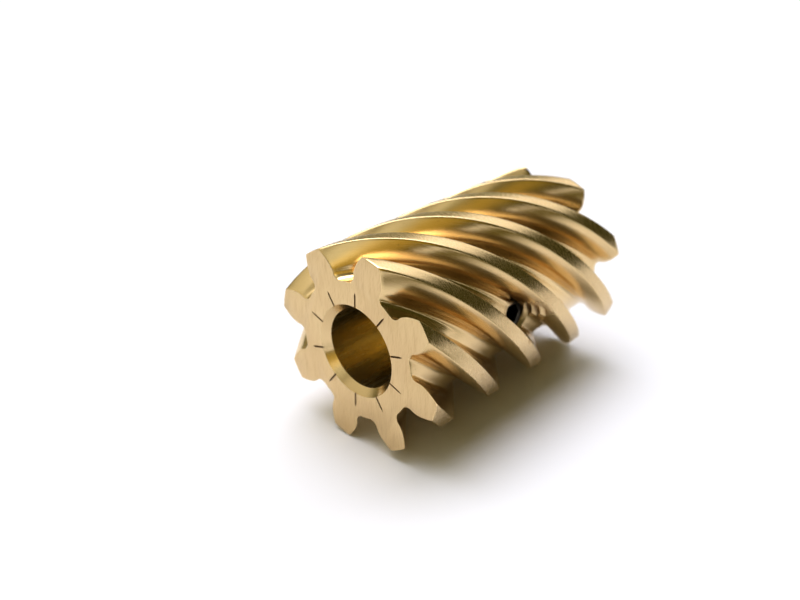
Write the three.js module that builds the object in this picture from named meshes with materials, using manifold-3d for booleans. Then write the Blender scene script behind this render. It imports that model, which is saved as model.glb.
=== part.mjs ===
// A small brass right-hand screw gear (crossed-helical pinion) with its grub screw.
//
// Frame, in millimetres: the gear's axis is Y and its ticked front face looks towards -Y. +Z is up.
// The origin is on the axis, half way along the gear. The grub screw sits in a hole along +X.
// Angles round the axis start at +X and grow towards +Z.

import * as THREE from 'three';
import { mergeVertices } from 'three/addons/utils/BufferGeometryUtils.js';
import Module from 'manifold-3d';

// ---- Driving dimensions --------------------------------------------------------------------

const INCH = 25.4;
const degrees = THREE.MathUtils.degToRad;

const TEETH = 8;
const NORMAL_MODULE = INCH / 20;    // 20 normal diametral pitch
const NORMAL_PRESSURE_ANGLE = degrees(20);
const HELIX_ANGLE = degrees(45);
const FACE_WIDTH = 15 / 16 * INCH;
const ADDENDUM = 0.036 * INCH;      // the tooth tips are turned down from a full 0.050 inch
const DEDENDUM = 1.25 * NORMAL_MODULE;
const ROOT_FILLET = 0.025 * INCH;
const BACKLASH_PER_FLANK = 0.005 * INCH;    // taken off each flank, along the pitch circle
const FRONT_TOOTH_ANGLE = degrees(30.65);

const BORE_RADIUS = INCH / 8;
const BORE_CHAMFER = 0.022 * INCH;

const TICKS = 10;
const TICK_INNER_RADIUS = 3.62;
const TICK_OUTER_RADIUS = 4.95;
const TICK_WIDTH = 0.13;
const TICK_DEPTH = 0.13;
const FIRST_TICK_ANGLE = degrees(86.6);

// A No. 6-32 tapped hole through one gap between teeth, and the cup-point screw in it.
const THREAD_PITCH = INCH / 32;
const HOLE_MINOR_RADIUS = 1.36;
const HOLE_MAJOR_RADIUS = 0.069 * INCH;
const HOLE_BEHIND_MIDDLE = 0.38;    // where the gap crosses the +X side
const SCREW_RADIUS = 1.3;           // a plain cylinder just inside the hole's thread crests
const SCREW_LENGTH = 3 / 32 * INCH;
const SCREW_TIP = 2.82;             // from the gear's axis, so it reaches a shaft's flat
const SCREW_CHAMFER = 0.18;
const CUP_RADIUS = 0.8;
const CUP_DEPTH = 0.45;
const CUP_NOSE_HEIGHT = 0.35;
const SOCKET_ACROSS_FLATS = INCH / 16;
const SOCKET_DEPTH = 1.25;
const SOCKET_CONE_DEPTH = 0.2;

// ---- Facets ------------------------------------------------------------------------------------

const STEPS_ALONG = 20;
const FLANK_STEPS = 4;
const FILLET_STEPS = 3;
const BORE_SIDES = 48;
const THREAD_SIDES = 24;
const ROWS_PER_PITCH = 4;
const OVERRUN = 0.5;                // how far each cutter runs past the surface it opens

// ---- Sizes that follow from them -----------------------------------------------------------------

const PITCH_RADIUS = TEETH * NORMAL_MODULE / Math.cos(HELIX_ANGLE) / 2;
const TIP_RADIUS = PITCH_RADIUS + ADDENDUM;
const ROOT_RADIUS = PITCH_RADIUS - DEDENDUM;
const PRESSURE_ANGLE = Math.atan(Math.tan(NORMAL_PRESSURE_ANGLE) / Math.cos(HELIX_ANGLE));
const BASE_RADIUS = PITCH_RADIUS * Math.cos(PRESSURE_ANGLE);
const TWIST_PER_MM = Math.tan(HELIX_ANGLE) / PITCH_RADIUS;
const TOOTH_STEP = 2 * Math.PI / TEETH;

// ---- Solids --------------------------------------------------------------------------------------

const wasm = await Module();
wasm.setup();

/** A manifold solid from a closed three.js geometry. */
function solid(geometry) {
  const bare = geometry.clone();
  bare.deleteAttribute('normal');
  bare.deleteAttribute('uv');
  const merged = mergeVertices(bare);
  const corners = merged.index.array;
  const kept = [];
  for (let i = 0; i < corners.length; i += 3) {
    const [a, b, c] = corners.slice(i, i + 3);
    if (a !== b && b !== c && c !== a) kept.push(a, b, c);
  }
  return new wasm.Manifold(new wasm.Mesh({
    numProp: 3,
    vertProperties: new Float32Array(merged.attributes.position.array),
    triVerts: new Uint32Array(kept),
  }));
}

/** A three.js geometry from a manifold solid. */
function geometryOf(body) {
  const { vertProperties, triVerts } = body.getMesh();
  const geometry = new THREE.BufferGeometry();
  geometry.setAttribute('position', new THREE.BufferAttribute(new Float32Array(vertProperties), 3));
  geometry.setIndex(new THREE.BufferAttribute(new Uint32Array(triVerts), 1));
  geometry.computeVertexNormals();
  return geometry;
}

/** A solid of revolution about +Y. Its profile runs upwards and starts and ends on the axis. */
function turned(profile, sides) {
  return new THREE.LatheGeometry(profile.map(([radius, y]) => new THREE.Vector2(radius, y)), sides);
}

// ---- Gear body -----------------------------------------------------------------------------------

const involute = (angle) => Math.tan(angle) - angle;
const polar = (radius, angle) => new THREE.Vector2(radius * Math.cos(angle), radius * Math.sin(angle));

/** Half of a tooth's angle at a radius, from the involute of the base circle. */
function halfToothAngle(radius) {
  const atPitchCircle = TOOTH_STEP / 4 - BACKLASH_PER_FLANK / PITCH_RADIUS;
  return atPitchCircle + involute(PRESSURE_ANGLE) - involute(Math.acos(BASE_RADIUS / radius));
}

/** One flank in (radius, angle) pairs, from the root circle out to the tip, with its root fillet. */
function flank() {
  const points = [];
  const rootAngle = halfToothAngle(BASE_RADIUS);
  const filletCentreRadius = ROOT_RADIUS + ROOT_FILLET;
  const filletCentre = polar(filletCentreRadius, rootAngle + Math.asin(ROOT_FILLET / filletCentreRadius));
  const towardsAxis = filletCentre.angle() + Math.PI;
  const towardsFlank = rootAngle - Math.PI / 2;
  const sweep = towardsFlank + 2 * Math.PI - towardsAxis;
  for (let i = 0; i <= FILLET_STEPS; i++) {
    const point = polar(ROOT_FILLET, towardsAxis + sweep * i / FILLET_STEPS).add(filletCentre);
    points.push([point.length(), point.angle()]);
  }
  for (let i = 0; i <= FLANK_STEPS; i++) {
    const radius = THREE.MathUtils.lerp(BASE_RADIUS, TIP_RADIUS, i / FLANK_STEPS);
    points.push([radius, halfToothAngle(radius)]);
  }
  return points;
}

/** The gear's outline in a plane square to its axis. */
function gearOutline() {
  const leading = flank();
  const points = [];
  for (let tooth = 0; tooth < TEETH; tooth++) {
    const centre = FRONT_TOOTH_ANGLE + tooth * TOOTH_STEP;
    points.push(polar(ROOT_RADIUS, centre - TOOTH_STEP / 2));
    for (const [radius, angle] of leading) points.push(polar(radius, centre - angle));
    for (const [radius, angle] of leading.toReversed()) points.push(polar(radius, centre + angle));
  }
  return new THREE.Shape(points);
}

/** The toothed blank: the outline extruded along Y and twisted into a right-hand helix. */
function toothedBlank() {
  const blank = new THREE.ExtrudeGeometry(gearOutline(), {
    depth: FACE_WIDTH,
    steps: STEPS_ALONG,
    bevelEnabled: false,
  });
  const position = blank.attributes.position;
  const corner = new THREE.Vector3();
  const extrusionAxis = new THREE.Vector3(0, 0, 1);
  for (let i = 0; i < position.count; i++) {
    corner.fromBufferAttribute(position, i);
    const fromFrontFace = FACE_WIDTH - corner.z;
    corner.applyAxisAngle(extrusionAxis, -TWIST_PER_MM * fromFrontFace);
    position.setXYZ(i, corner.x, corner.y, corner.z);
  }
  blank.translate(0, 0, -FACE_WIDTH / 2);
  blank.rotateX(Math.PI / 2);
  return blank;
}

/** The shaft bore with a chamfer at each end, as a cutter. */
function boreCutter() {
  const end = FACE_WIDTH / 2;
  const mouth = BORE_RADIUS + BORE_CHAMFER + OVERRUN;
  return turned([
    [0, -end - OVERRUN],
    [mouth, -end - OVERRUN],
    [BORE_RADIUS, -end + BORE_CHAMFER],
    [BORE_RADIUS, end - BORE_CHAMFER],
    [mouth, end + OVERRUN],
    [0, end + OVERRUN],
  ], BORE_SIDES);
}

/** One engraved radial tick in the front face, as a cutter. */
function tickCutter(angle) {
  const length = TICK_OUTER_RADIUS - TICK_INNER_RADIUS;
  const tick = new THREE.BoxGeometry(length, 2 * TICK_DEPTH, TICK_WIDTH);
  tick.translate(TICK_INNER_RADIUS + length / 2, -FACE_WIDTH / 2, 0);
  tick.rotateY(-angle);
  return tick;
}

/** The tapped hole along +X, as a cutter: a cylinder whose wall is pushed out along a helix. */
function tappedHoleCutter() {
  const from = SCREW_TIP - OVERRUN;
  const pitches = Math.ceil((TIP_RADIUS + OVERRUN - from) / THREAD_PITCH);
  const length = pitches * THREAD_PITCH;
  const rows = pitches * ROWS_PER_PITCH;
  const cutter = new THREE.CylinderGeometry(1, 1, length, THREAD_SIDES, rows);
  const position = cutter.attributes.position;
  for (let i = 0; i < position.count; i++) {
    const x = position.getX(i);
    const y = position.getY(i);
    const z = position.getZ(i);
    if (x === 0 && z === 0) continue;
    const turns = Math.atan2(x, z) / (2 * Math.PI);
    const phase = THREE.MathUtils.euclideanModulo(y / THREAD_PITCH - turns, 1);
    const groove = 1 - Math.abs(2 * phase - 1);
    const radius = THREE.MathUtils.lerp(HOLE_MINOR_RADIUS, HOLE_MAJOR_RADIUS, groove);
    position.setXYZ(i, x * radius, y, z * radius);
  }
  cutter.rotateZ(-Math.PI / 2);
  cutter.translate(from + length / 2, HOLE_BEHIND_MIDDLE, 0);
  return cutter;
}

function gearBody() {
  let body = solid(toothedBlank()).subtract(solid(boreCutter()));
  for (let i = 0; i < TICKS; i++) {
    body = body.subtract(solid(tickCutter(FIRST_TICK_ANGLE + i * 2 * Math.PI / TICKS)));
  }
  body = body.subtract(solid(tappedHoleCutter()));
  const brass = new THREE.MeshStandardMaterial({ color: 0xcdaa6b, roughness: 0.3, metalness: 1 });
  const mesh = new THREE.Mesh(geometryOf(body), brass);
  mesh.name = 'gear_body';
  return mesh;
}

// ---- Grub screw ----------------------------------------------------------------------------------

/** The screw along +Y with its cup point at the origin. */
function screwBlank() {
  return turned([
    [0, CUP_DEPTH],
    [CUP_RADIUS, 0],
    [SCREW_RADIUS, CUP_NOSE_HEIGHT],
    [SCREW_RADIUS, SCREW_LENGTH - SCREW_CHAMFER],
    [SCREW_RADIUS - SCREW_CHAMFER, SCREW_LENGTH],
    [0, SCREW_LENGTH],
  ], THREAD_SIDES);
}

/** The hexagon socket with a drilled bottom, as a cutter: a six-sided turning. */
function socketCutter() {
  const corner = SOCKET_ACROSS_FLATS / Math.sqrt(3);
  const floor = SCREW_LENGTH - SOCKET_DEPTH;
  return turned([
    [0, floor - SOCKET_CONE_DEPTH],
    [corner, floor],
    [corner, SCREW_LENGTH + OVERRUN],
    [0, SCREW_LENGTH + OVERRUN],
  ], 6);
}

function setScrew() {
  const body = solid(screwBlank()).subtract(solid(socketCutter()));
  const blackSteel = new THREE.MeshStandardMaterial({ color: 0x2a2a2b, roughness: 0.45, metalness: 0.9 });
  const mesh = new THREE.Mesh(geometryOf(body), blackSteel);
  mesh.name = 'set_screw';
  mesh.rotation.z = -Math.PI / 2;
  mesh.position.set(SCREW_TIP, HOLE_BEHIND_MIDDLE, 0);
  return mesh;
}

// ---- Assembly ------------------------------------------------------------------------------------

const screwGear = new THREE.Group();
screwGear.add(gearBody(), setScrew());

export default screwGear;
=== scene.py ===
import math

import bmesh
import bpy
from mathutils import Matrix, Vector


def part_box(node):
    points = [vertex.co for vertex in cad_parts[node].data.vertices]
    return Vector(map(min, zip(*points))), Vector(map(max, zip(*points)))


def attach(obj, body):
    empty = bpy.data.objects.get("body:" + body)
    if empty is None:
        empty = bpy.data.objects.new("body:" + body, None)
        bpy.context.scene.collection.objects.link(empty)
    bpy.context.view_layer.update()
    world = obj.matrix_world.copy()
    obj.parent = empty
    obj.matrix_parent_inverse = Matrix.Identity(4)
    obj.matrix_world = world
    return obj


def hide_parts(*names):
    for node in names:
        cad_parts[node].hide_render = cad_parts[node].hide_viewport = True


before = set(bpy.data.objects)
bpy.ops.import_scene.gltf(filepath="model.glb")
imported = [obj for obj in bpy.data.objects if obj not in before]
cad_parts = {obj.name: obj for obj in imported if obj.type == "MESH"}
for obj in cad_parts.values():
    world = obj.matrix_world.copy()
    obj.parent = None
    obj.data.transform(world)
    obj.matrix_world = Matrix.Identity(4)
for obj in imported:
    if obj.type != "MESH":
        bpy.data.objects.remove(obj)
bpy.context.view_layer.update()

# The fine surface of a small brass screw gear and its black grub screw, in metres.
# The gear's axis is Y, its ticked front face looks towards -Y, and +Z is up. Angles round the axis
# start at +X and grow towards +Z.

MM = 0.001
INCH = 25.4 * MM
OVERRUN = 0.5 * MM                    # how far a cutter passes the surface that it cuts

# ---- Sizes of the gear ---------------------------------------------------------------------------

GEAR_LOW, GEAR_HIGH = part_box("gear_body")
SCREW_LOW, SCREW_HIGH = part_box("set_screw")

TEETH = 8
MODULE = INCH / 20
HELIX_ANGLE = math.radians(45)
NORMAL_PRESSURE_ANGLE = math.radians(20)
PITCH_RADIUS = TEETH * MODULE / math.cos(HELIX_ANGLE) / 2
TIP_RADIUS = PITCH_RADIUS + 0.036 * INCH
ROOT_RADIUS = PITCH_RADIUS - 1.25 * MODULE
ROOT_FILLET = 0.025 * INCH
BACKLASH_PER_FLANK = 0.005 * INCH
FRONT_TOOTH_ANGLE = math.radians(30.65)

FRONT = GEAR_LOW.y
REAR = GEAR_HIGH.y
PRESSURE_ANGLE = math.atan(math.tan(NORMAL_PRESSURE_ANGLE) / math.cos(HELIX_ANGLE))
BASE_RADIUS = PITCH_RADIUS * math.cos(PRESSURE_ANGLE)
TWIST_PER_METRE = math.tan(HELIX_ANGLE) / PITCH_RADIUS
TOOTH_STEP = 2 * math.pi / TEETH

BORE_RADIUS = INCH / 8
BORE_CHAMFER = 0.022 * INCH

TICKS = 10
TICK_INNER_RADIUS = 3.62 * MM
TICK_OUTER_RADIUS = 4.95 * MM
TICK_WIDTH = 0.13 * MM
TICK_DEPTH = 0.13 * MM
TICK_MOUTH_SHARE = 2                  # the cutter's width above the face, in tick widths
TICK_FLOOR_SHARE = 0.3                # the groove's width at its floor, in tick widths
TICK_INNER_END = 0.3                  # how much of the full section is left at each end
TICK_OUTER_END = 0.25
FIRST_TICK_ANGLE = math.radians(86.6)

# ---- Sizes of the tapped hole and its screw ------------------------------------------------------

THREAD_PITCH = INCH / 32
THREAD_MINOR = 1.36 * MM
THREAD_MAJOR = 0.069 * INCH
THREAD_CLEARANCE = 0.04 * MM
THREAD_START = SCREW_LOW.x - OVERRUN
HOLE_Y = (SCREW_LOW.y + SCREW_HIGH.y) / 2
OUTER_END_STEP = 0.12 * MM            # the outer end's chamfer starts this far inside the root
POINT_SLOPE = 1.3                     # radius gained per length behind the cup point's rim
SOCKET_ACROSS_FLATS = INCH / 16
SOCKET_DEPTH = 1.25 * MM
SOCKET_SIDES = 6
SOCKET_CONE_DEPTH = 0.2 * MM
SOCKET_CONE_END = 0.1                 # the cone's end as a share of the socket's width
CUP_RADIUS = 0.8 * MM
CUP_DEPTH = 0.45 * MM
CUP_RIM = 0.06 * MM
CUP_RINGS = (0.06, 0.35, 0.7, 1.0)    # as shares of the cup's radius, from its middle out

# A thread's section is a triangle wave from 0 to 1, stretched and lowered by these and then clipped
# to 0 and 1, which leaves flats at its root and crest.
THREAD_STRETCH = 1.35
THREAD_LOWERING = 0.2

# ---- How fine the surfaces are -------------------------------------------------------------------

STEPS_ALONG = 110
FLANK_STEPS = 10
FILLET_STEPS = 6
LAND_STEPS = 4
FLOOR_STEPS = 2
BORE_SIDES = 128
THREAD_SIDES = 72
THREAD_ROWS = 20
EDGE_ROUNDING = 0.05 * MM
ROUNDING_STEPS = 2
ROUNDED_FROM = math.radians(35)       # edges sharper than this are rounded
GEAR_CREASE = math.radians(32)        # edges sharper than this are shaded as creases
SCREW_CREASE = math.radians(28)


# ---- Mesh helpers --------------------------------------------------------------------------------

def new_object(name, points, faces):
    """A mesh object of these points and faces, with its faces turned outwards."""
    mesh = bpy.data.meshes.new(name)
    mesh.from_pydata(points, [], faces)
    bm = bmesh.new()
    bm.from_mesh(mesh)
    bmesh.ops.recalc_face_normals(bm, faces=bm.faces)
    bm.to_mesh(mesh)
    bm.free()
    obj = bpy.data.objects.new(name, mesh)
    bpy.context.scene.collection.objects.link(obj)
    return obj


def lofted(name, rings):
    """A closed body through rings of the same number of points, capped at both ends."""
    sides = len(rings[0])
    points = [p for ring in rings for p in ring]
    faces = []
    for row in range(len(rings) - 1):
        for i in range(sides):
            a = row * sides + i
            b = row * sides + (i + 1) % sides
            faces.append((a, b, b + sides, a + sides))
    last = (len(rings) - 1) * sides
    faces.append(tuple(range(sides)))
    faces.append(tuple(range(last, last + sides)))
    return new_object(name, points, faces)


def apply_modifiers(obj):
    """Bakes an object's modifiers into its mesh."""
    bpy.context.view_layer.update()
    graph = bpy.context.evaluated_depsgraph_get()
    mesh = bpy.data.meshes.new_from_object(obj.evaluated_get(graph))
    obj.modifiers.clear()
    obj.data = mesh


def cut(obj, cutter):
    """Takes a cutter's volume out of an object and deletes the cutter."""
    boolean = obj.modifiers.new("cut", "BOOLEAN")
    boolean.operation = "DIFFERENCE"
    boolean.solver = "EXACT"
    boolean.object = cutter
    apply_modifiers(obj)
    bpy.data.objects.remove(cutter)


def shade(obj, sharp_angle):
    """Smooth shading with creases at edges sharper than an angle."""
    for polygon in obj.data.polygons:
        polygon.use_smooth = True
    obj.data.set_sharp_from_angle(angle=sharp_angle)


def about_y(radius, angle, y):
    """The point at a radius and angle round the gear's axis."""
    return Vector((radius * math.cos(angle), y, radius * math.sin(angle)))


# ---- Gear body -----------------------------------------------------------------------------------

def involute(angle):
    """The involute function, by which a flank leans in as its pressure angle grows."""
    return math.tan(angle) - angle


def half_tooth_angle(radius):
    """Half the angle that a tooth takes up at this radius."""
    at_pitch_circle = TOOTH_STEP / 4 - BACKLASH_PER_FLANK / PITCH_RADIUS
    here = math.acos(min(1, BASE_RADIUS / radius))
    return at_pitch_circle + involute(PRESSURE_ANGLE) - involute(here)


def flank():
    """One flank in (radius, half angle) pairs from the root circle to the tip, with its fillet."""
    root_angle = half_tooth_angle(BASE_RADIUS)
    centre_radius = ROOT_RADIUS + ROOT_FILLET
    centre_angle = root_angle + math.asin(ROOT_FILLET / centre_radius)
    centre = centre_radius * Vector((math.cos(centre_angle), math.sin(centre_angle)))
    start = centre_angle + math.pi
    sweep = root_angle + 1.5 * math.pi - start
    pairs = []
    for i in range(FILLET_STEPS + 1):
        turn = start + sweep * i / FILLET_STEPS
        point = centre + ROOT_FILLET * Vector((math.cos(turn), math.sin(turn)))
        pairs.append((point.length, math.atan2(point.y, point.x)))
    for i in range(FLANK_STEPS + 1):
        radius = BASE_RADIUS + (TIP_RADIUS - BASE_RADIUS) * i / FLANK_STEPS
        pairs.append((radius, half_tooth_angle(radius)))
    return pairs


def tooth_outline():
    """One tooth in (radius, angle) pairs, from the middle of one gap to just short of the next."""
    side = flank()
    middle = TOOTH_STEP / 2
    floor_edge = side[0][1]
    tip_angle = side[-1][1]
    gap_floor = [
        (ROOT_RADIUS, middle + (floor_edge - middle) * i / FLOOR_STEPS)
        for i in range(FLOOR_STEPS)
    ]
    rising = [(radius, -angle) for radius, angle in gap_floor + side]
    land = [(TIP_RADIUS, tip_angle * (2 * i / LAND_STEPS - 1)) for i in range(1, LAND_STEPS)]
    falling = [(radius, -angle) for radius, angle in reversed(rising[1:])]
    return rising + land + falling


def toothed_blank():
    """The gear's outline carried along Y in a right-hand helix."""
    tooth = tooth_outline()
    rings = []
    for step in range(STEPS_ALONG + 1):
        y = FRONT + (REAR - FRONT) * step / STEPS_ALONG
        twist = -TWIST_PER_METRE * (y - FRONT)
        rings.append([
            about_y(radius, FRONT_TOOTH_ANGLE + number * TOOTH_STEP + angle + twist, y)
            for number in range(TEETH)
            for radius, angle in tooth
        ])
    return lofted("gear", rings)


def bore_cutter():
    """The shaft bore with a chamfer at each end."""
    mouth = BORE_RADIUS + BORE_CHAMFER + OVERRUN
    profile = [
        (mouth, FRONT - OVERRUN),
        (BORE_RADIUS, FRONT + BORE_CHAMFER),
        (BORE_RADIUS, REAR - BORE_CHAMFER),
        (mouth, REAR + OVERRUN),
    ]
    rings = [
        [about_y(radius, 2 * math.pi * i / BORE_SIDES, y) for i in range(BORE_SIDES)]
        for radius, y in profile
    ]
    return lofted("bore_cutter", rings)


def tick_cutter(angle):
    """One engraved tick in the front face: a groove with a narrow floor, smaller at both ends."""
    stations = [
        (TICK_INNER_RADIUS, TICK_INNER_END),
        (TICK_INNER_RADIUS + TICK_DEPTH, 1.0),
        (TICK_OUTER_RADIUS - 2 * TICK_DEPTH, 1.0),
        (TICK_OUTER_RADIUS, TICK_OUTER_END),
    ]
    rings = []
    turn = Matrix.Rotation(-angle, 4, "Y")
    for radius, size in stations:
        mouth = TICK_MOUTH_SHARE * TICK_WIDTH / 2 * size
        bottom = TICK_FLOOR_SHARE * TICK_WIDTH / 2 * size
        depth = TICK_DEPTH * size
        section = [
            (radius, FRONT - TICK_DEPTH, -mouth),
            (radius, FRONT + depth, -bottom),
            (radius, FRONT + depth, bottom),
            (radius, FRONT - TICK_DEPTH, mouth),
        ]
        rings.append([turn @ Vector(point) for point in section])
    return lofted("tick_cutter", rings)


# ---- Screw threads -------------------------------------------------------------------------------

def thread_depth(x, angle):
    """How far a thread is from its minor radius (0) to its major one (1) at this place."""
    turns = (angle - math.pi / 2) / (2 * math.pi)
    phase = ((x - THREAD_START) / THREAD_PITCH - turns) % 1
    ramp = 1 - abs(2 * phase - 1)
    return min(1, max(0, THREAD_STRETCH * ramp - THREAD_LOWERING))


def about_hole(radius, angle, x):
    """The point at a radius and angle round the tapped hole's axis."""
    return Vector((x, HOLE_Y + radius * math.cos(angle), radius * math.sin(angle)))


def ring_about_hole(radius, x, sides):
    """A plain ring of points round the tapped hole's axis."""
    return [about_hole(radius, 2 * math.pi * i / sides, x) for i in range(sides)]


def threaded_rings(start, end, radius_at):
    """Rings of a threaded surface along the hole, with radius_at(x, angle) giving its radius."""
    rows = max(2, round((end - start) / THREAD_PITCH * THREAD_ROWS))
    rings = []
    for row in range(rows + 1):
        x = start + (end - start) * row / rows
        ring = []
        for i in range(THREAD_SIDES):
            angle = 2 * math.pi * i / THREAD_SIDES
            ring.append(about_hole(radius_at(x, angle), angle, x))
        rings.append(ring)
    return rings


def tapped_hole_cutter():
    """The tapped hole, from inside the bore to beyond the tooth tips."""
    def radius_at(x, angle):
        return THREAD_MINOR + (THREAD_MAJOR - THREAD_MINOR) * thread_depth(x, angle)

    return lofted("hole_cutter", threaded_rings(THREAD_START, TIP_RADIUS + OVERRUN, radius_at))


def screw_blank():
    """The threaded screw, chamfered at both ends, with its cup point towards the gear's axis."""
    tip, outer = SCREW_LOW.x, SCREW_HIGH.x
    root = THREAD_MINOR - THREAD_CLEARANCE
    crest = THREAD_MAJOR - 2 * THREAD_CLEARANCE
    end_radius = root - OUTER_END_STEP

    def radius_at(x, angle):
        threaded = root + (crest - root) * thread_depth(x, angle)
        from_tip = CUP_RADIUS + CUP_RIM + POINT_SLOPE * (x - tip)
        from_outer = end_radius + (outer - x)
        return min(threaded, from_tip, from_outer)

    cup = []
    for share in CUP_RINGS:
        x = tip + CUP_DEPTH * (1 - share)
        cup.append(ring_about_hole(CUP_RADIUS * share, x, THREAD_SIDES))
    return lofted("set_screw_fine", cup + threaded_rings(tip, outer, radius_at))


def socket_cutter():
    """The hexagon socket, running to a shallow six-sided cone at the bottom."""
    corner = SOCKET_ACROSS_FLATS / math.sqrt(3)
    bottom = SCREW_HIGH.x - SOCKET_DEPTH
    profile = [
        (corner * SOCKET_CONE_END, bottom - SOCKET_CONE_DEPTH),
        (corner, bottom),
        (corner, SCREW_HIGH.x + OVERRUN),
    ]
    rings = [ring_about_hole(radius, x, SOCKET_SIDES) for radius, x in profile]
    return lofted("socket_cutter", rings)


def gear_body():
    """The brass body: the blank with its edges broken, then bored, engraved and tapped."""
    gear = toothed_blank()
    rounding = gear.modifiers.new("rounding", "BEVEL")
    rounding.width = EDGE_ROUNDING
    rounding.segments = ROUNDING_STEPS
    rounding.limit_method = "ANGLE"
    rounding.angle_limit = ROUNDED_FROM
    rounding.use_clamp_overlap = False
    apply_modifiers(gear)
    cut(gear, bore_cutter())
    for number in range(TICKS):
        cut(gear, tick_cutter(FIRST_TICK_ANGLE + number * 2 * math.pi / TICKS))
    cut(gear, tapped_hole_cutter())
    shade(gear, GEAR_CREASE)
    return gear


def set_screw():
    """The grub screw at rest in its hole."""
    screw = screw_blank()
    cut(screw, socket_cutter())
    shade(screw, SCREW_CREASE)
    return screw


# ---- Node helpers --------------------------------------------------------------------------------

def node(tree, kind, inputs=(), **settings):
    """Adds a shader node; inputs holds sockets to join or values to set, in order or by name."""
    new = tree.nodes.new("ShaderNode" + kind)
    for name, value in settings.items():
        setattr(new, name, value)
    pairs = inputs.items() if isinstance(inputs, dict) else enumerate(inputs)
    for key, value in pairs:
        if isinstance(value, bpy.types.NodeSocket):
            tree.links.new(value, new.inputs[key])
        else:
            new.inputs[key].default_value = value
    return new


def calc(tree, operation, *values):
    """The result of one sum on numbers."""
    return node(tree, "Math", values, operation=operation).outputs[0]


def combine(tree, x, y, z):
    """A vector of three numbers."""
    return node(tree, "CombineXYZ", (x, y, z)).outputs[0]


def spread(tree, value, low, high, to_low=0.0, to_high=1.0):
    """Maps low..high smoothly onto to_low..to_high and clamps it."""
    inputs = (value, low, high, to_low, to_high)
    return node(tree, "MapRange", inputs, interpolation_type="SMOOTHSTEP").outputs[0]


def noise(tree, vector, scale=1.0, detail=2.0, roughness=0.5):
    """Soft noise round 0.5 at so many features per unit of its vector."""
    inputs = {"Vector": vector, "Scale": scale, "Detail": detail, "Roughness": roughness}
    return node(tree, "TexNoise", inputs).outputs["Fac"]


def blend(tree, share, a, b):
    """That share of a and the rest of b, for numbers."""
    return calc(tree, "ADD", calc(tree, "MULTIPLY", a, share), calc(tree, "MULTIPLY", b, 1 - share))


def mix_colour(tree, share, a, b):
    """Colour a at share 0 and colour b at share 1."""
    inputs = {"Factor": share, "A": a, "B": b}
    new = node(tree, "Mix", data_type="RGBA")
    for key, value in inputs.items():
        socket = next(s for s in new.inputs if s.name == key and s.enabled)
        if isinstance(value, bpy.types.NodeSocket):
            tree.links.new(value, socket)
        else:
            socket.default_value = value if key == "Factor" else (*value, 1)
    return next(s for s in new.outputs if s.enabled)


def coordinates(tree):
    """Place on the object in millimetres, as separate x, y and z sockets."""
    place = node(tree, "TexCoord").outputs["Object"]
    per_mm = (1 / MM,) * 3
    in_mm = node(tree, "VectorMath", (place, per_mm), operation="MULTIPLY").outputs[0]
    return node(tree, "SeparateXYZ", (in_mm,)).outputs[:]


def angle_round_axis(tree, x, z):
    """Angle round the gear's axis, in radians."""
    return calc(tree, "ARCTAN2", z, x)


def scratches(tree, across, along, width, length):
    """Fine straight scratches, from 0 (none) to 1, of about this width and length in millimetres."""
    u = calc(tree, "DIVIDE", across, width)
    v = calc(tree, "DIVIDE", along, length)
    return noise(tree, combine(tree, u, v, 0.0), detail=3.0, roughness=0.6)


def turned_by(tree, a, b, degrees):
    """The coordinates a and b after turning them in their plane."""
    c = math.cos(math.radians(degrees))
    s = math.sin(math.radians(degrees))
    first = calc(tree, "ADD", calc(tree, "MULTIPLY", a, c), calc(tree, "MULTIPLY", b, -s))
    second = calc(tree, "ADD", calc(tree, "MULTIPLY", a, s), calc(tree, "MULTIPLY", b, c))
    return first, second


# ---- Materials -----------------------------------------------------------------------------------

BRASS = (0.75, 0.585, 0.345)
BRASS_DULL = (0.55, 0.39, 0.21)
BRASS_BRIGHT = (0.82, 0.64, 0.37)
BRASS_DEEP = (0.91, 0.77, 0.40)
BRASS_DARK = (0.18, 0.12, 0.065)
STEEL_OXIDE = (0.070, 0.068, 0.058)
STEEL_BARE = (0.30, 0.29, 0.26)


def metal(name, colour_at, roughness_at, height_at, bump_mm):
    """A bare metal with bumps about bump_mm deep; each *_at turns (tree, x, y, z) into a socket."""
    material = bpy.data.materials.new(name)
    material.use_nodes = True
    tree = material.node_tree
    x, y, z = coordinates(tree)
    shader = tree.nodes["Principled BSDF"]
    shader.inputs["Metallic"].default_value = 1
    tree.links.new(colour_at(tree, x, y, z), shader.inputs["Base Color"])
    tree.links.new(roughness_at(tree, x, y, z), shader.inputs["Roughness"])
    height = height_at(tree, x, y, z)
    bump = node(tree, "Bump", {"Height": height, "Strength": 1.0, "Distance": bump_mm * MM})
    tree.links.new(bump.outputs[0], shader.inputs["Normal"])
    return material


def brass_colour(tree, x, y, z, dull_share, clean=BRASS):
    """Brass with large soft patches of light tarnish."""
    patches = noise(tree, combine(tree, x, y, z), scale=0.22)
    share = spread(tree, patches, 0.4, 0.75, to_high=dull_share)
    return mix_colour(tree, share, clean, BRASS_DULL)


def specks(tree, x, y, z):
    """1 in small scattered spots of dirt or chipped metal, 0 elsewhere."""
    spots = noise(tree, combine(tree, x, y, z), scale=3.2, roughness=0.6)
    return spread(tree, spots, 0.70, 0.80)


# Strokes over the end faces: lean from upright (degrees), width and length (mm), and weight.
FACE_STROKES = (
    (6, 0.09, 2.4, 0.5),
    (-9, 0.16, 3.5, 0.3),
    (31, 0.12, 1.6, 0.2),
)


def face_scratches(tree, x, y, z):
    """Straight brush marks, most of them nearly upright, that cross each other."""
    total = 0.0
    for degrees, width, length, weight in FACE_STROKES:
        across, along = turned_by(tree, x, z, degrees)
        strokes = scratches(tree, across, along, width, length)
        total = calc(tree, "ADD", total, calc(tree, "MULTIPLY", strokes, weight))
    return total


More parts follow.
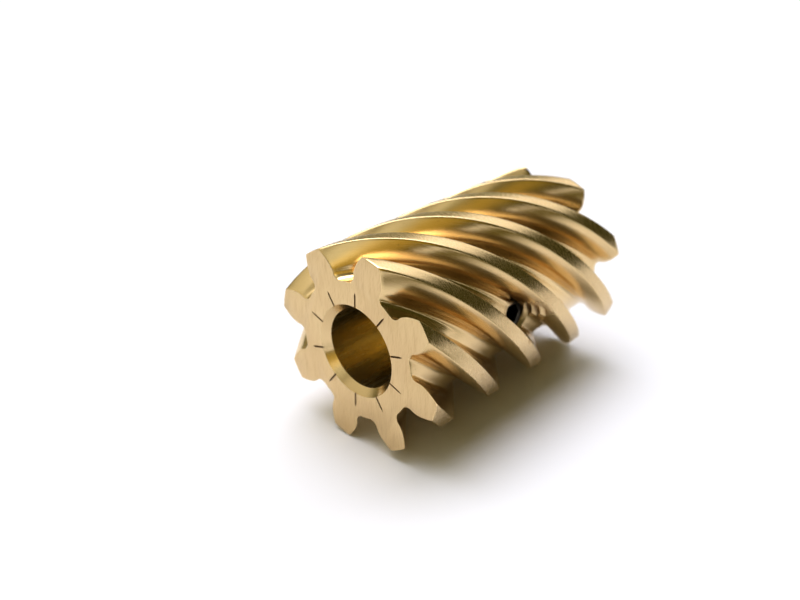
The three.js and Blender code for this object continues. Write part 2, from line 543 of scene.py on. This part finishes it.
def end_face_brass():
    """Brushed brass, duller in its scratches."""
    def colour(tree, x, y, z):
        base = brass_colour(tree, x, y, z, 0.25)
        share = spread(tree, face_scratches(tree, x, y, z), 0.45, 0.7, to_high=0.5)
        return mix_colour(tree, share, base, BRASS_DULL)

    def roughness(tree, x, y, z):
        return spread(tree, face_scratches(tree, x, y, z), 0.3, 0.7, 0.30, 0.45)

    return metal("brass_brushed", colour, roughness, face_scratches, bump_mm=0.014)


def turning_marks(tree, x, y, z):
    """Close rings left by turning the outside diameter, broken up by fine grain."""
    angle = angle_round_axis(tree, x, z)
    arc = calc(tree, "MULTIPLY", angle, TIP_RADIUS / MM)
    rings = scratches(tree, y, arc, width=0.07, length=0.9)
    grain = noise(tree, combine(tree, x, y, z), scale=11.0, detail=3.0, roughness=0.6)
    return blend(tree, 0.5, rings, grain)


def land_brass():
    """Turned brass on the tips of the teeth."""
    def colour(tree, x, y, z):
        return brass_colour(tree, x, y, z, 0.25)

    def roughness(tree, x, y, z):
        return spread(tree, turning_marks(tree, x, y, z), 0.35, 0.65, 0.20, 0.34)

    return metal("brass_turned", colour, roughness, turning_marks, bump_mm=0.012)


HOB_LINES_ROUND = 60.0                # features per radian round the gear, where they are closest
HOB_LINES_UP = 8.0                    # features per millimetre up a flank
HOB_LINES_ALONG = 0.3                 # features per millimetre along the gear


def hob_marks(tree, x, y, z):
    """Faint lines that run along the helix, on the slightest of waves."""
    twist = calc(tree, "MULTIPLY", y, TWIST_PER_METRE * MM)
    unwound = calc(tree, "ADD", angle_round_axis(tree, x, z), twist)
    squares = calc(tree, "ADD", calc(tree, "MULTIPLY", x, x), calc(tree, "MULTIPLY", z, z))
    helix = combine(
        tree,
        calc(tree, "MULTIPLY", calc(tree, "SINE", unwound), HOB_LINES_ROUND),
        calc(tree, "MULTIPLY", calc(tree, "SQRT", squares), HOB_LINES_UP),
        calc(tree, "MULTIPLY", y, HOB_LINES_ALONG),
    )
    lines = noise(tree, helix)
    waves = noise(tree, combine(tree, x, y, z), scale=0.5, detail=1.0, roughness=0.4)
    return blend(tree, 0.35, lines, waves)


def flank_brass():
    """Bright hobbed brass in the gaps between the teeth, with a few dark specks."""
    def colour(tree, x, y, z):
        clean = brass_colour(tree, x, y, z, 0.2, BRASS_BRIGHT)
        return mix_colour(tree, specks(tree, x, y, z), clean, BRASS_DARK)

    def roughness(tree, x, y, z):
        return spread(tree, hob_marks(tree, x, y, z), 0.3, 0.7, 0.19, 0.25)

    return metal("brass_hobbed", colour, roughness, hob_marks, bump_mm=0.006)


def reaming_marks(tree, x, y, z):
    """Long soft streaks drawn along the bore, crossed by very fine rings."""
    arc = calc(tree, "MULTIPLY", angle_round_axis(tree, x, z), BORE_RADIUS / MM)
    streaks = scratches(tree, arc, y, width=0.5, length=9.0)
    rings = scratches(tree, y, arc, width=0.08, length=3.0)
    return blend(tree, 0.8, streaks, rings)


def bore_brass():
    """Reamed brass, deep in colour, with paler streaks."""
    def colour(tree, x, y, z):
        share = spread(tree, reaming_marks(tree, x, y, z), 0.45, 0.75, to_high=0.6)
        return mix_colour(tree, share, BRASS_DEEP, BRASS)

    def roughness(tree, x, y, z):
        return spread(tree, reaming_marks(tree, x, y, z), 0.3, 0.7, 0.20, 0.32)

    return metal("brass_reamed", colour, roughness, reaming_marks, bump_mm=0.02)


def chamfer_brass():
    """Smooth brass with close rings, on the bore's chamfers."""
    def rings(tree, x, y, z):
        arc = calc(tree, "MULTIPLY", angle_round_axis(tree, x, z), BORE_RADIUS / MM)
        return scratches(tree, y, arc, width=0.06, length=1.5)

    def colour(tree, x, y, z):
        return brass_colour(tree, x, y, z, 0.3)

    def roughness(tree, x, y, z):
        return spread(tree, rings(tree, x, y, z), 0.3, 0.7, 0.12, 0.20)

    return metal("brass_countersunk", colour, roughness, rings, bump_mm=0.008)


def tick_brass():
    """Dull brass, darkened in blotches, in the engraved ticks."""
    def grain(tree, x, y, z):
        return noise(tree, combine(tree, x, y, z), scale=14.0)

    def colour(tree, x, y, z):
        # The ticks are coloured mostly dark brown here, over their whole width.
        darkening = spread(tree, grain(tree, x, y, z), 0.3, 0.8, 0.85, 0.35)
        return mix_colour(tree, darkening, BRASS_DULL, BRASS_DARK)

    def roughness(tree, x, y, z):
        return spread(tree, grain(tree, x, y, z), 0.3, 0.7, 0.4, 0.6)

    return metal("brass_engraved", colour, roughness, grain, bump_mm=0.01)


def thread_brass():
    """Brass torn along the tapped hole's thread."""
    def tearing(tree, x, y, z):
        angle = calc(tree, "ARCTAN2", z, calc(tree, "SUBTRACT", y, HOLE_Y / MM))
        arc = calc(tree, "MULTIPLY", angle, THREAD_MAJOR / MM)
        return scratches(tree, x, arc, width=0.06, length=1.0)

    def colour(tree, x, y, z):
        share = spread(tree, tearing(tree, x, y, z), 0.45, 0.7, to_high=0.6)
        return mix_colour(tree, share, BRASS, BRASS_DULL)

    def roughness(tree, x, y, z):
        return spread(tree, tearing(tree, x, y, z), 0.3, 0.7, 0.28, 0.45)

    return metal("brass_tapped", colour, roughness, tearing, bump_mm=0.02)


def black_steel():
    """Black oxide on steel, rubbed through to bare metal in places."""
    def wear(tree, x, y, z):
        return noise(tree, combine(tree, x, y, z), scale=3.0, detail=4.0, roughness=0.65)

    def colour(tree, x, y, z):
        share = spread(tree, wear(tree, x, y, z), 0.58, 0.72, to_high=0.7)
        return mix_colour(tree, share, STEEL_OXIDE, STEEL_BARE)

    def roughness(tree, x, y, z):
        return spread(tree, wear(tree, x, y, z), 0.3, 0.7, 0.5, 0.3)

    return metal("black_oxide_steel", colour, roughness, wear, bump_mm=0.02)


# The gear's materials, and the slot that each one takes.
BRASSES = (
    end_face_brass,
    land_brass,
    flank_brass,
    bore_brass,
    chamfer_brass,
    tick_brass,
    thread_brass,
)
END_FACE, LAND, FLANK, BORE, CHAMFER, TICK, THREAD = range(len(BRASSES))

SURFACE_TOLERANCE = 0.02 * MM         # how far a face's middle may stand off its surface
FLAT_END = 0.95                       # least size of an end face's normal along the axis


def region(polygon):
    """Which machined surface of the gear a face belongs to."""
    x, y, z = polygon.center
    radius = math.hypot(x, z)
    from_hole = math.hypot(y - HOLE_Y, z)
    end_depth = min(y - FRONT, REAR - y)
    if end_depth < SURFACE_TOLERANCE and abs(polygon.normal.y) > FLAT_END:
        return END_FACE
    if radius < BORE_RADIUS + SURFACE_TOLERANCE:
        return BORE
    if radius < BORE_RADIUS + BORE_CHAMFER and end_depth < BORE_CHAMFER:
        return CHAMFER
    if x > 0 and from_hole < THREAD_MAJOR + SURFACE_TOLERANCE:
        return THREAD
    if radius < TICK_OUTER_RADIUS and y - FRONT < TICK_DEPTH + SURFACE_TOLERANCE:
        return TICK
    if radius > TIP_RADIUS - SURFACE_TOLERANCE:
        return LAND
    return FLANK


def finish_gear(gear):
    """Gives each machined surface of the gear its own brass."""
    for brass in BRASSES:
        gear.data.materials.append(brass())
    for polygon in gear.data.polygons:
        polygon.material_index = region(polygon)


gear = gear_body()
finish_gear(gear)
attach(gear, "gear")
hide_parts("gear_body")

screw = set_screw()
screw.data.materials.append(black_steel())
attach(screw, "screw")
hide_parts("set_screw")

# ---- Floor, light and camera ---------------------------------------------------------------------

FLOOR_REACH = 2.0                     # from the middle to each side
FLOOR_COLOUR = (0.89, 0.90, 0.94)

CAMERA_FROM = Vector((42.43, -51.06, 32.62)) * MM
CAMERA_TO = Vector((-3.45, -3.36, -0.06)) * MM
CAMERA_ROLL = math.radians(-1.69)
CAMERA_LENS = 40.12                   # focal length, in the camera's own millimetres
CAMERA_FOCUS = 62 * MM
CAMERA_NEAREST = 1 * MM
CAMERA_FSTOP = 40


def floor():
    """A wide, matt, pale table top under the gear's lowest teeth."""
    size = FLOOR_REACH
    z = -TIP_RADIUS
    corners = [(-size, -size, z), (size, -size, z), (size, size, z), (-size, size, z)]
    sheet = new_object("floor", corners, [(0, 1, 2, 3)])
    material = bpy.data.materials.new("pale_paper")
    material.use_nodes = True
    shader = material.node_tree.nodes["Principled BSDF"]
    shader.inputs["Base Color"].default_value = (*FLOOR_COLOUR, 1)
    shader.inputs["Roughness"].default_value = 0.8
    shader.inputs["Specular IOR Level"].default_value = 0.2
    sheet.data.materials.append(material)


def towards(azimuth, elevation):
    """A direction; azimuth 0 is +Y (behind the gear) and 90 is +X, in degrees."""
    a = math.radians(azimuth)
    e = math.radians(elevation)
    return Vector((math.sin(a) * math.cos(e), math.cos(a) * math.cos(e), math.sin(e)))


TENT_BASE = (0.20, 0.19, 0.09)
TENT_DARKEST = (0.08, 0.075, 0.016)   # the parts that take light away stop here
TENT_SEEN = (0.97, 0.97, 0.97)        # the background as the camera sees it

# Each round part of the tent: azimuth, elevation, the angle from its middle out to which it is full,
# the angle where it ends, and the red, green and blue that it adds to the base colour.
TENT_PARTS = (
    (-75, 79, 12, 34, (3.85, 3.85, 4.3)),
    (-6, 46, 10, 28, (1.05, 1.05, 1.15)),
    (-40, 20, 14, 34, (0.15, 0.15, 0.15)),
    (-138, 32, 18, 46, (0.52, 0.5, 0.46)),
    (150, 38, 10, 25, (0.6, 0.6, 0.57)),
    (84, 24, 38, 56, (-1.5, -1.5, -1.5)),
    (48, 15, 22, 42, (-0.5, -0.5, -0.5)),
)
WARM_CARD = (140, 20, 6, 22, (0.45, 0.33, 0.08))


def join(tree, operation, a, b):
    """Two colours joined channel by channel."""
    return node(tree, "VectorMath", (a, b), operation=operation).outputs[0]


def tent_part(tree, direction, azimuth, elevation, full, end, added):
    """The light that one soft-edged round part of the tent adds in a direction."""
    axis = towards(azimuth, elevation)
    nearness = node(tree, "VectorMath", (direction, axis), operation="DOT_PRODUCT")
    at_edge = math.cos(math.radians(end))
    inside = math.cos(math.radians(full))
    share = spread(tree, nearness.outputs["Value"], at_edge, inside)
    return node(tree, "VectorMath", {"Vector": added, "Scale": share}, operation="SCALE").outputs[0]


def tent():
    """Soft studio light: a ceiling light, a window behind to the left, and a dark right-hand side."""
    world = bpy.data.worlds.new("studio")
    world.use_nodes = True
    tree = world.node_tree
    direction = node(tree, "TexCoord").outputs["Generated"]
    light = TENT_BASE
    for part in TENT_PARTS:
        light = join(tree, "ADD", light, tent_part(tree, direction, *part))
    light = join(tree, "MAXIMUM", light, TENT_DARKEST)
    light = join(tree, "ADD", light, tent_part(tree, direction, *WARM_CARD))
    seen = node(tree, "LightPath").outputs["Is Camera Ray"]
    colour = mix_colour(tree, seen, light, TENT_SEEN)
    tree.links.new(colour, tree.nodes["Background"].inputs["Color"])
    bpy.context.scene.world = world


# Painted shadow: a dark, faintly glowing disc that stands in for the camera's shadow on the table,
# seen only in the gear's reflections.
CARD_ABOVE_FLOOR = 0.05 * MM
CARD_CENTRE = Vector((78 * MM, -20 * MM, -TIP_RADIUS + CARD_ABOVE_FLOOR))
CARD_RADIUS = 69 * MM
CARD_DARK_RADIUS = 35 * MM            # the painted shadow is full out to here and fades away from there
CARD_SHADOW_GLOW = (0.14, 0.12, 0.02, 1)
CARD_SIDES = 48


def painted_shadow_card():
    """A soft-edged disc of painted shadow on the table beside the camera, standing in for the
    camera's own shadow; it glows faintly dark, and only the gear's reflections show it.
    """
    corners = []
    for i in range(CARD_SIDES):
        angle = 2 * math.pi * i / CARD_SIDES
        outwards = Vector((math.cos(angle), math.sin(angle), 0))
        corners.append(CARD_CENTRE + CARD_RADIUS * outwards)
    card = new_object("painted_shadow_card", corners, [tuple(range(CARD_SIDES))])
    material = bpy.data.materials.new("painted_shadow_card")
    material.use_nodes = True
    tree = material.node_tree
    place = node(tree, "TexCoord").outputs["Object"]
    distance = node(tree, "VectorMath", (place, CARD_CENTRE), operation="DISTANCE")
    cover = spread(tree, distance.outputs["Value"], CARD_DARK_RADIUS, CARD_RADIUS, 1.0, 0.0)
    clear = node(tree, "BsdfTransparent").outputs[0]
    shadow_glow = node(tree, "Emission", {"Color": CARD_SHADOW_GLOW}).outputs[0]
    surface = node(tree, "MixShader", (cover, clear, shadow_glow)).outputs[0]
    tree.links.new(surface, tree.nodes["Material Output"].inputs["Surface"])
    card.data.materials.append(material)
    card.visible_camera = False
    card.visible_diffuse = False
    card.visible_shadow = False


def camera():
    """A camera close above the gear's front right, with the far end slightly out of focus."""
    data = bpy.data.cameras.new("camera")
    data.lens = CAMERA_LENS
    data.clip_start = CAMERA_NEAREST
    data.dof.use_dof = True
    data.dof.focus_distance = CAMERA_FOCUS
    data.dof.aperture_fstop = CAMERA_FSTOP
    obj = bpy.data.objects.new("camera", data)
    bpy.context.scene.collection.objects.link(obj)
    aim = (CAMERA_TO - CAMERA_FROM).to_track_quat("-Z", "Y").to_matrix().to_4x4()
    roll = Matrix.Rotation(CAMERA_ROLL, 4, "Z")
    obj.matrix_world = Matrix.Translation(CAMERA_FROM) @ aim @ roll
    bpy.context.scene.camera = obj


floor()
tent()
painted_shadow_card()
camera()

view = bpy.context.scene.view_settings
view.view_transform = "Standard"
view.exposure = 0.2
view.gamma = 0.8
